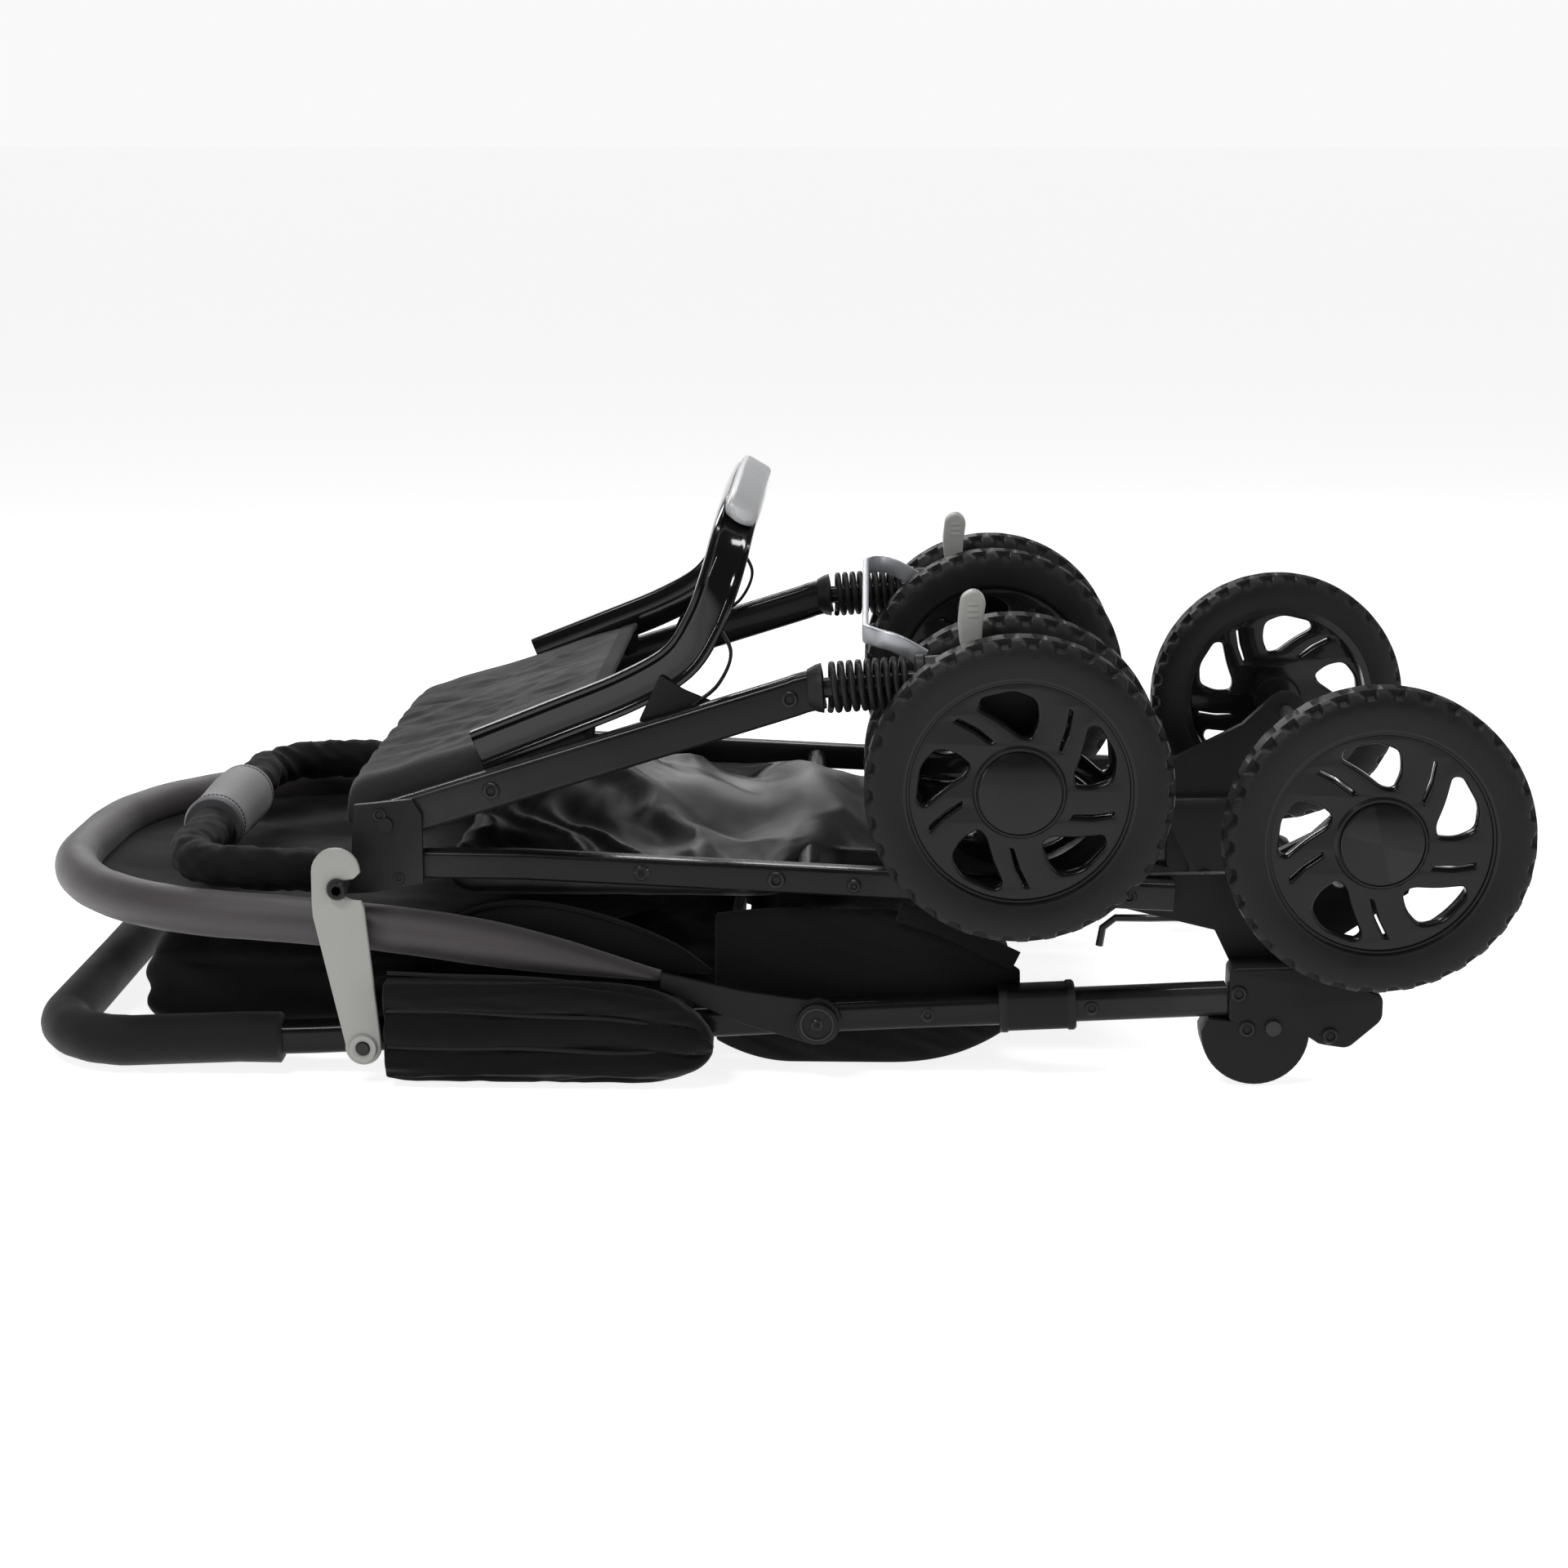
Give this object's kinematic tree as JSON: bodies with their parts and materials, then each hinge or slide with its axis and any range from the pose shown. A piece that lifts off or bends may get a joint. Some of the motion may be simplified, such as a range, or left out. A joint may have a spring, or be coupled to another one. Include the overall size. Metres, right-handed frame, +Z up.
{
  "type": "folded pet stroller",
  "caption": "Pet stroller folded flat: push handle frame, hinged side rails and legs, sprung swivel casters, rear wheels, fold latch, canopy and seat fabric.",
  "frame": {"origin": "on the floor, under the middle of the folded stroller", "axes": "+X from the push handle to the rear wheels, +Y to the left side, +Z up"},
  "size_m": [0.9682, 0.512, 0.3677],
  "materials": {
    "black_paint": "satin",
    "black_plastic": "satin",
    "gloss_black": "gloss",
    "grey_plastic": "satin",
    "foam": "matte",
    "tyre": "matte",
    "black_fabric": "matte",
    "charcoal_fabric": "matte",
    "grey_cover": "satin",
    "steel": "brushed"
  },
  "bodies": {
    "handle_frame": {"handle_tube": "black_paint", "foam_grip": "foam", "hinge_housing_left": "black_plastic", "hinge_housing_right": "black_plastic", "hinge_pin_left": "steel", "hinge_pin_right": "steel", "tube_sleeve_left": "black_plastic", "tube_sleeve_right": "black_plastic", "cabin_fabric": "black_fabric", "latch_stud": "steel"},
    "latch": {"latch_hook": "grey_plastic"},
    "canopy": {"canopy_bow": "grey_cover", "canopy_hub_left": "black_plastic", "canopy_hub_right": "black_plastic", "canopy_side_left": "black_fabric", "canopy_side_right": "black_fabric", "canopy_fabric": "black_fabric"},
    "chassis": {"side_rail_left": "black_paint", "side_rail_right": "black_paint", "elbow_bracket_left": "black_plastic", "elbow_bracket_right": "black_plastic", "rear_knuckle_left": "black_plastic", "rear_knuckle_right": "black_plastic", "latch_bolt": "steel", "rear_axle": "steel", "rail_crossbar": "black_paint", "bumper_bar": "black_fabric", "bumper_cuff": "grey_cover", "seat_fabric": "charcoal_fabric", "wire_stay": "steel"},
    "brake": {"brake_bar": "black_plastic"},
    "front_legs": {"front_leg_left": "black_paint", "front_leg_right": "black_paint", "suspension_spring_left": "black_plastic", "suspension_spring_right": "black_plastic", "leg_panel": "charcoal_fabric", "front_arch": "gloss_black", "arch_pad": "grey_plastic"},
    "front_carriage": {"front_crossbar": "steel", "caster_housing_left": "black_plastic", "caster_housing_right": "black_plastic"},
    "caster_left": {"caster_fork_left": "black_plastic", "front_axle_left": "steel"},
    "lock_left": {"lock_lever_left": "grey_plastic"},
    "wheel_rear_left": {"tyre_rear_left": "tyre", "rim_rear_left": "gloss_black"},
    "wheel_front_outer_left": {"tyre_front_outer_left": "tyre", "rim_front_outer_left": "gloss_black"},
    "wheel_front_inner_left": {"tyre_front_inner_left": "tyre", "rim_front_inner_left": "gloss_black"},
    "caster_right": {"caster_fork_right": "black_plastic", "front_axle_right": "steel"},
    "lock_right": {"lock_lever_right": "grey_plastic"},
    "wheel_rear_right": {"tyre_rear_right": "tyre", "rim_rear_right": "gloss_black"},
    "wheel_front_outer_right": {"tyre_front_outer_right": "tyre", "rim_front_outer_right": "gloss_black"},
    "wheel_front_inner_right": {"tyre_front_inner_right": "tyre", "rim_front_inner_right": "gloss_black"}
  },
  "joints": [
    {"name": "main_fold", "type": "hinge", "parent": "handle_frame", "child": "chassis", "pos_m": [0.3316, 0, 0.038], "axis": [0, 1, 0], "range_deg": [0, 75]},
    {"name": "front_leg_fold", "type": "hinge", "parent": "chassis", "child": "front_legs", "pos_m": [-0.2294, 0, 0.1635], "axis": [0, -1, 0], "range_deg": [0, 47]},
    {"name": "canopy_fold", "type": "hinge", "parent": "handle_frame", "child": "canopy", "pos_m": [0.0436, 0, 0.04], "axis": [0, 1, 0], "range_deg": [0, 60]},
    {"name": "latch_swing", "type": "hinge", "parent": "handle_frame", "child": "latch", "pos_m": [-0.2434, -0.226, 0.0245], "axis": [0, -1, 0], "range_deg": [0, 40]},
    {"name": "suspension", "type": "slide", "parent": "front_legs", "child": "front_carriage", "axis": [0.9968, 0, 0.0801], "range_m": [-0.012, 0], "stiffness_N_per_m": 2500, "springref_m": 0.012, "deforming": ["suspension_spring_left", "suspension_spring_right"]},
    {"name": "caster_swivel_left", "type": "hinge", "parent": "front_carriage", "child": "caster_left", "pos_m": [0.1375, 0.19, 0.2578], "axis": [0.9968, 0, 0.0801], "range_deg": [-3, 3]},
    {"name": "lock_flip_left", "type": "hinge", "parent": "front_carriage", "child": "lock_left", "pos_m": [0.1371, 0.19, 0.281], "axis": [0, 1, 0], "range_deg": [0, 30]},
    {"name": "spin_rear_left", "type": "hinge", "parent": "chassis", "child": "wheel_rear_left", "pos_m": [0.3886, 0.2345, 0.166], "axis": [0, 1, 0], "continuous": true},
    {"name": "spin_front_outer_left", "type": "hinge", "parent": "caster_left", "child": "wheel_front_outer_left", "pos_m": [0.1676, 0.232, 0.196], "axis": [0, 1, 0], "continuous": true},
    {"name": "spin_front_inner_left", "type": "hinge", "parent": "caster_left", "child": "wheel_front_inner_left", "pos_m": [0.1676, 0.147, 0.196], "axis": [0, 1, 0], "continuous": true},
    {"name": "caster_swivel_right", "type": "hinge", "parent": "front_carriage", "child": "caster_right", "pos_m": [0.1375, -0.19, 0.2578], "axis": [0.9968, 0, 0.0801], "range_deg": [-3, 3]},
    {"name": "lock_flip_right", "type": "hinge", "parent": "front_carriage", "child": "lock_right", "pos_m": [0.1371, -0.19, 0.281], "axis": [0, 1, 0], "range_deg": [0, 30]},
    {"name": "spin_rear_right", "type": "hinge", "parent": "chassis", "child": "wheel_rear_right", "pos_m": [0.3886, -0.2345, 0.166], "axis": [0, 1, 0], "continuous": true},
    {"name": "spin_front_outer_right", "type": "hinge", "parent": "caster_right", "child": "wheel_front_outer_right", "pos_m": [0.1676, -0.232, 0.196], "axis": [0, 1, 0], "continuous": true},
    {"name": "spin_front_inner_right", "type": "hinge", "parent": "caster_right", "child": "wheel_front_inner_right", "pos_m": [0.1676, -0.147, 0.196], "axis": [0, 1, 0], "continuous": true},
    {"name": "brake_press", "type": "hinge", "parent": "chassis", "child": "brake", "pos_m": [0.4116, 0, 0.132], "axis": [0, 1, 0], "range_deg": [-15, 0]}
  ],
  "couplings": [
    {"joint": "front_leg_fold", "follows": "main_fold", "ratio": 0.6266},
    {"joint": "canopy_fold", "follows": "main_fold", "ratio": 0.8}
  ]
}
